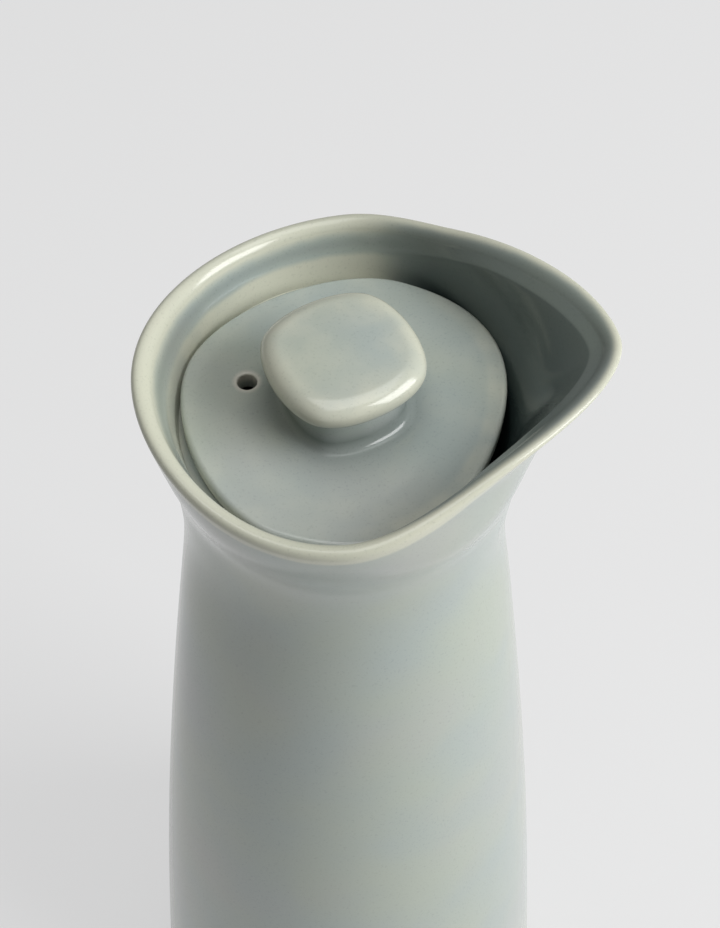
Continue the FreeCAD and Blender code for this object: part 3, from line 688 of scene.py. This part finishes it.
def cut_vent(lid, sizes, marks):
    """Cut the air hole through the lid's plate with a piece that flares to the hole's rounded edges."""
    turns = np.arange(VENT_SIDES) / VENT_SIDES
    rings = []
    for side, face in ((1, 0.0), (-1, sizes.thickness)):
        heights = [face - side * VENT_SPARE] + [face + side * sizes.vent_round * (1 - math.cos(angle))
                                                for angle in (0.0, *arc(6))]
        radii = [sizes.vent_radius + sizes.vent_round * (1 - math.sin(angle))
                 for angle in (0.0, 0.0, *arc(6))]
        levels = list(zip(radii, heights))[::side]
        for radius, height in levels:
            x, y = outline_points(turns, circle(radius))
            rings.append(Ring(placed(x - sizes.vent_offset, y - sizes.vent_side, height),
                              marks.vent_cream, 0.0))
    cutter = raise_rings("vent_cutter", rings)
    deselect()
    lid.select_set(True)
    bpy.context.view_layer.objects.active = lid
    hole = lid.modifiers.new("Vent", "BOOLEAN")
    hole.object, hole.operation, hole.solver = cutter, "DIFFERENCE", "EXACT"
    bpy.ops.object.modifier_apply(modifier=hole.name)
    bpy.data.objects.remove(cutter)


def finish_piece(piece, node, material):
    """Smooth the piece, give it its glaze and let it stand for its node."""
    deselect()
    piece.select_set(True)
    bpy.context.view_layer.objects.active = piece
    bpy.ops.object.shade_smooth_by_angle(angle=SHARP_ANGLE)
    piece.data.materials.clear()
    piece.data.materials.append(material)
    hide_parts(node)
    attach(piece, BODY)


def new_material(name):
    material = bpy.data.materials.new(name)
    material.use_nodes = True
    material.node_tree.nodes.clear()
    return material, material.node_tree


def add_node(tree, kind, values=None, **settings):
    """Add a node, set what it is, and give its sockets a value or link them to another socket."""
    node = tree.nodes.new(kind)
    for setting, value in settings.items():
        setattr(node, setting, value)
    for socket, value in (values or {}).items():
        if isinstance(value, bpy.types.NodeSocket):
            tree.links.new(value, node.inputs[socket])
        else:
            node.inputs[socket].default_value = value
    return node


def mix_colours(tree, share, first, second):
    node = add_node(tree, "ShaderNodeMix", data_type="RGBA")
    for socket, value in ((0, share), (6, first), (7, second)):
        if isinstance(value, bpy.types.NodeSocket):
            tree.links.new(value, node.inputs[socket])
        else:
            node.inputs[socket].default_value = (*value, 1.0) if socket else value
    return node.outputs[2]


def eased_range(tree, value, low, high, start=0.0, end=1.0):
    """Value that eases from a start to an end while another goes from low to high."""
    return add_node(tree, "ShaderNodeMapRange", {
        "Value": value, "From Min": low, "From Max": high, "To Min": start, "To Max": end},
        interpolation_type="SMOOTHSTEP").outputs["Result"]


def noise_in(tree, coordinates, scale, detail):
    return add_node(tree, "ShaderNodeTexNoise", {
        "Vector": coordinates, "Scale": scale, "Detail": detail}).outputs["Fac"]


def clouded(tree, coordinates, cloud, share=1.0):
    """Noise of a cloud, as strong as the share says."""
    noise = noise_in(tree, coordinates, cloud.scale, cloud.detail)
    return scaled(tree, eased_range(tree, noise, cloud.low, cloud.high), share)


def scaled(tree, value, factor):
    node = add_node(tree, "ShaderNodeMath", {0: value, 1: factor}, operation="MULTIPLY")
    return node.outputs["Value"]


def glaze(name, colours, finish, hole=None):
    """Gloss glaze with faint clouds and specks, cream where it is thin and dark where it gathers; the same
    cream also paints light, and the same dark paints shade.

    hole gives the place and the radius of a hole whose edge is warm.
    """
    material, tree = new_material(name)
    coordinates = add_node(tree, "ShaderNodeTexCoord").outputs["Object"]
    thin = add_node(tree, "ShaderNodeAttribute", attribute_name="thin").outputs["Fac"]
    pool = add_node(tree, "ShaderNodeAttribute", attribute_name="pool").outputs["Fac"]
    tone = mix_colours(tree, clouded(tree, coordinates, GREEN_CLOUDS), colours.blue, colours.green)
    tone = mix_colours(tree, clouded(tree, coordinates, ROSE_CLOUDS, finish.rose_share), tone, colours.rose)
    worn = clouded(tree, coordinates, RAGGED_EDGE, finish.ragged_share)
    left = add_node(tree, "ShaderNodeMath", {0: thin, 1: worn}, operation="SUBTRACT").outputs["Value"]
    cream = scaled(tree, eased_range(tree, left, finish.cream_low, finish.cream_high), finish.cream_share)
    # Cream where the glaze is thin, and painted light on the wall beside the lid
    tone = mix_colours(tree, cream, tone, colours.cream)
    # Dark of gathered glaze, and painted shade
    tone = mix_colours(tree, pool, tone, colours.pool)
    if hole:
        place, radius = hole
        away = add_node(tree, "ShaderNodeVectorMath", {0: coordinates, 1: place}, operation="DISTANCE")
        edge = eased_range(tree, away.outputs["Value"], finish.hole_near * radius,
                           finish.hole_far * radius, 1.0, 0.0)
        tone = mix_colours(tree, scaled(tree, edge, finish.hole_share), tone, colours.edge)
    tone = mix_colours(tree, clouded(tree, coordinates, SPECKS, finish.speck_share), tone, colours.pool)
    bump = add_node(tree, "ShaderNodeBump", {
        "Height": noise_in(tree, coordinates, finish.grain_scale, 1.0), "Strength": finish.grain_strength,
        "Distance": finish.grain_height})
    shader = add_node(tree, "ShaderNodeBsdfPrincipled", {
        "Base Color": tone, "Roughness": finish.roughness, "IOR": finish.refraction,
        "Normal": bump.outputs["Normal"]})
    add_node(tree, "ShaderNodeOutputMaterial", {"Surface": shader.outputs["BSDF"]})
    return material


class POURER_OT_bottle(bpy.types.Operator):
    """Model the bottle with its pinched mouth"""

    bl_idname = "pourer.bottle"
    bl_label = "Bottle"

    def execute(self, context):
        scene = context.scene
        sizes = scene.pourer_sizes
        turns = np.arange(sizes.sides) / sizes.sides
        piece = raise_rings("bottle_glazed", bottle_rings(sizes, scene.pourer_marks, turns))
        material = glaze("bottle_glaze", scene.pourer_glaze, scene.pourer_finish)
        finish_piece(piece, "bottle", material)
        return {"FINISHED"}


class POURER_OT_lid(bpy.types.Operator):
    """Model the lid with its knob and air hole"""

    bl_idname = "pourer.lid"
    bl_label = "Lid"

    def execute(self, context):
        scene = context.scene
        sizes, lid_sizes, marks = scene.pourer_sizes, scene.pourer_lid, scene.pourer_marks
        turns = np.arange(sizes.sides) / sizes.sides
        piece = raise_rings("lid_glazed", lid_rings(lid_sizes, marks, turns))
        cut_vent(piece, lid_sizes, marks)
        place = Matrix.Translation((0, 0, sizes.seat_height)) @ Matrix.Rotation(lid_sizes.turn, 4, "Z")
        piece.data.transform(place)
        hole = place @ Vector((-lid_sizes.vent_offset, -lid_sizes.vent_side, lid_sizes.thickness))
        material = glaze("lid_glaze", scene.pourer_glaze, scene.pourer_finish,
                         (hole, lid_sizes.vent_radius))
        finish_piece(piece, "lid", material)
        return {"FINISHED"}


def add_floor(settings):
    """Floor that takes soft shadows, and that the camera sees partly at the backdrop's level."""
    deselect()
    bpy.ops.mesh.primitive_plane_add(size=settings.floor_size, location=(0, 0, 0))
    floor = bpy.context.object
    floor.name = "floor"
    material, tree = new_material("floor_paper")
    paper = add_node(tree, "ShaderNodeBsdfDiffuse", {"Color": (*settings.floor, 1.0)})
    level = add_node(tree, "ShaderNodeEmission", {"Color": (*settings.backdrop, 1.0), "Strength": 1.0})
    rays = add_node(tree, "ShaderNodeLightPath").outputs
    either = add_node(tree, "ShaderNodeMath", {0: rays["Is Camera Ray"], 1: rays["Is Glossy Ray"]},
                      operation="MAXIMUM").outputs["Value"]
    seen = scaled(tree, either, settings.backdrop_share)
    mixed = add_node(tree, "ShaderNodeMixShader", {0: seen, 1: paper.outputs[0], 2: level.outputs[0]})
    add_node(tree, "ShaderNodeOutputMaterial", {"Surface": mixed.outputs[0]})
    floor.data.materials.append(material)


def add_world(settings):
    """Level light from all round, in place of which the camera sees the backdrop's level."""
    world = bpy.data.worlds.new("studio")
    world.use_nodes = True
    tree = world.node_tree
    tree.nodes.clear()
    rays = add_node(tree, "ShaderNodeLightPath").outputs["Is Camera Ray"]
    light = add_node(tree, "ShaderNodeBackground", {"Color": (1, 1, 1, 1), "Strength": settings.world_light})
    seen = add_node(tree, "ShaderNodeBackground", {"Color": (*settings.backdrop, 1.0), "Strength": 1.0})
    mixed = add_node(tree, "ShaderNodeMixShader", {0: rays, 1: light.outputs[0], 2: seen.outputs[0]})
    add_node(tree, "ShaderNodeOutputWorld", {"Surface": mixed.outputs[0]})
    bpy.context.scene.world = world


def add_lamp(name, place, target, size, level):
    """Square soft lamp, whose power gives the same level at any distance."""
    data = bpy.data.lights.new(name, "AREA")
    data.shape, data.size = "SQUARE", size
    towards = Vector(target) - Vector(place)
    data.energy = level * math.pi ** 2 * towards.length_squared
    lamp = bpy.data.objects.new(name, data)
    lamp.location = place
    lamp.rotation_euler = towards.to_track_quat("-Z", "Y").to_euler()
    bpy.context.scene.collection.objects.link(lamp)


class POURER_OT_stage(bpy.types.Operator):
    """Set the floor, the lamps and the camera"""

    bl_idname = "pourer.stage"
    bl_label = "Stage"

    def execute(self, context):
        settings = context.scene.pourer_stage
        add_floor(settings)
        add_world(settings)
        target = settings.target
        add_lamp("key_lamp", settings.key_place, target, settings.key_size, settings.key_light)
        add_lamp("top_lamp", settings.top_place, target, settings.top_size, settings.top_light)
        data = bpy.data.cameras.new("photo_camera")
        data.sensor_width, data.lens = settings.sensor, settings.lens
        camera = bpy.data.objects.new("photo_camera", data)
        camera.location = settings.camera_place
        camera.rotation_euler = (math.pi / 2 - settings.elevation, 0.0, 0.0)
        context.scene.collection.objects.link(camera)
        context.scene.camera = camera
        context.scene.view_settings.view_transform = "Standard"
        return {"FINISHED"}


class POURER_PT_panel(bpy.types.Panel):
    """Lists the pourer's pieces and its stage."""

    bl_idname = "POURER_PT_panel"
    bl_label = "Oil Pourer"
    bl_space_type = "VIEW_3D"
    bl_region_type = "UI"
    bl_category = "Oil Pourer"

    def draw(self, context):
        for operator in (POURER_OT_bottle, POURER_OT_lid, POURER_OT_stage):
            self.layout.operator(operator.bl_idname)


CLASSES = (PourerSizes, LidSizes, GlazeColours, GlazeLightAndShadeMarks, GlazeFinish, StageSettings,
           POURER_OT_bottle, POURER_OT_lid, POURER_OT_stage, POURER_PT_panel)
SETTINGS = {"pourer_sizes": PourerSizes, "pourer_lid": LidSizes, "pourer_glaze": GlazeColours,
            "pourer_marks": GlazeLightAndShadeMarks, "pourer_finish": GlazeFinish, "pourer_stage": StageSettings}


def register():
    for cls in CLASSES:
        bpy.utils.register_class(cls)
    for name, group in SETTINGS.items():
        setattr(bpy.types.Scene, name, PointerProperty(type=group))


def unregister():
    for name in SETTINGS:
        delattr(bpy.types.Scene, name)
    for cls in reversed(CLASSES):
        bpy.utils.unregister_class(cls)


def main():
    register()
    bpy.ops.pourer.bottle()
    bpy.ops.pourer.lid()
    bpy.ops.pourer.stage()


if __name__ == "__main__":
    main()
